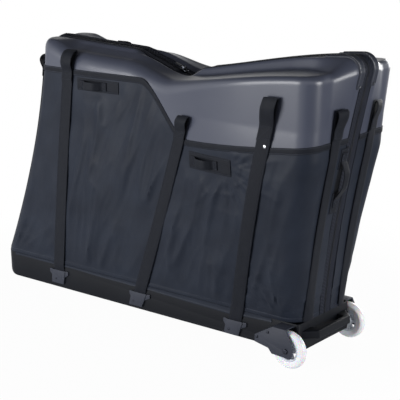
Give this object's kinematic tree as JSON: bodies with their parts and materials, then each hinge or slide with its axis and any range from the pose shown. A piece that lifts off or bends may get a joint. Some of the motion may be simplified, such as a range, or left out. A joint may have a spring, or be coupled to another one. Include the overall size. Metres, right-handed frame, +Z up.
{
  "type": "bike travel case",
  "caption": "Wheeled soft-sided bicycle travel case on a moulded tub, whose two halves with hard top shells unzip and fold down sideways.",
  "frame": {"origin": "middle of the bounding box, on the floor the wheels and nose skids stand on", "axes": "+X from the low nose towards the wheels, +Y from the side in the picture towards the far side, +Z up"},
  "size_m": [1.3252, 0.4136, 0.8525],
  "materials": {
    "shell": "thermoformed sheet with a satin face",
    "wall_fabric": "coated woven polyester with soft creases",
    "webbing": "woven polyester webbing",
    "zip_tape": "woven tape with a nylon coil",
    "tub": "moulded with a fine grain",
    "hardware": "injection moulded, fine grain",
    "tyre": "cast translucent polyurethane",
    "hub": "injection moulded",
    "steel": "black zinc plated",
    "zip_metal": "die-cast, lacquered black",
    "rail": "extruded and anodised",
    "stand": "machined plastic",
    "foam": "closed-cell foam sheet",
    "lining": "woven lining over foam"
  },
  "bodies": {
    "base": {"base_tray": "tub", "rear_grab_bar": "tub", "front_grip": "tub", "front_skids": "hardware", "near_wheel_bracket": "hardware", "far_wheel_bracket": "hardware", "near_axle_bolt": "steel", "far_axle_bolt": "steel", "axle_spacers": "hardware", "bracket_screws": "steel", "strap_anchors": "hardware", "anchor_rivets": "steel", "strap_tails": "webbing", "base_foam": "foam", "bike_rail": "rail", "fork_stand": "stand", "dropout_stand": "stand"},
    "near_half": {"near_shell": "shell", "near_side_panel": "wall_fabric", "near_shell_binding": "webbing", "near_zip_tape": "zip_tape", "near_strap_front": "webbing", "near_strap_middle": "webbing", "near_strap_rear": "webbing", "near_end_straps": "webbing", "near_strap_folds": "webbing", "near_front_handle": "webbing", "near_middle_handle": "webbing", "near_handle_patches": "wall_fabric", "near_corner_guard": "hardware", "near_wheel_pocket": "lining", "near_foam_panel": "foam", "tail_handle": "webbing", "tail_handle_patches": "wall_fabric"},
    "far_half": {"far_shell": "shell", "far_side_panel": "wall_fabric", "far_shell_binding": "webbing", "far_zip_tape": "zip_tape", "far_strap_front": "webbing", "far_strap_middle": "webbing", "far_strap_rear": "webbing", "far_end_straps": "webbing", "far_strap_folds": "webbing", "far_front_handle": "webbing", "far_middle_handle": "webbing", "far_handle_patches": "wall_fabric", "far_corner_guard": "hardware", "far_wheel_pocket": "lining", "far_foam_panel": "foam"},
    "near_wheel": {"near_tyre": "tyre", "near_hub": "hub", "near_bearings": "steel"},
    "far_wheel": {"far_tyre": "tyre", "far_hub": "hub", "far_bearings": "steel"},
    "zip_slider": {"zip_slider": "zip_metal"},
    "zip_pull": {"zip_pull": "zip_metal"}
  },
  "joints": [
    {"name": "near_half_hinge", "type": "hinge", "parent": "base", "child": "near_half", "pos_m": [-0.05008, -0.123, 0.10379], "axis": [0.9996, 0, 0.0284], "range_deg": [0, 75]},
    {"name": "far_half_hinge", "type": "hinge", "parent": "base", "child": "far_half", "pos_m": [-0.05008, 0.123, 0.10379], "axis": [-0.9996, 0, -0.0284], "range_deg": [0, 75]},
    {"name": "near_wheel_spin", "type": "hinge", "parent": "base", "child": "near_wheel", "pos_m": [0.53157, -0.145, 0.054], "axis": [0, 1, 0], "continuous": true},
    {"name": "far_wheel_spin", "type": "hinge", "parent": "base", "child": "far_wheel", "pos_m": [0.53157, 0.145, 0.054], "axis": [0, 1, 0], "continuous": true},
    {"name": "zip_slide", "type": "slide", "parent": "near_half", "child": "zip_slider", "axis": [-0.9467, 0, 0.3221], "range_m": [0, 0.045]},
    {"name": "zip_pull_swing", "type": "hinge", "parent": "zip_slider", "child": "zip_pull", "pos_m": [0.03694, 0, 0.75077], "axis": [0, 1, 0], "range_deg": [0, 150]}
  ]
}
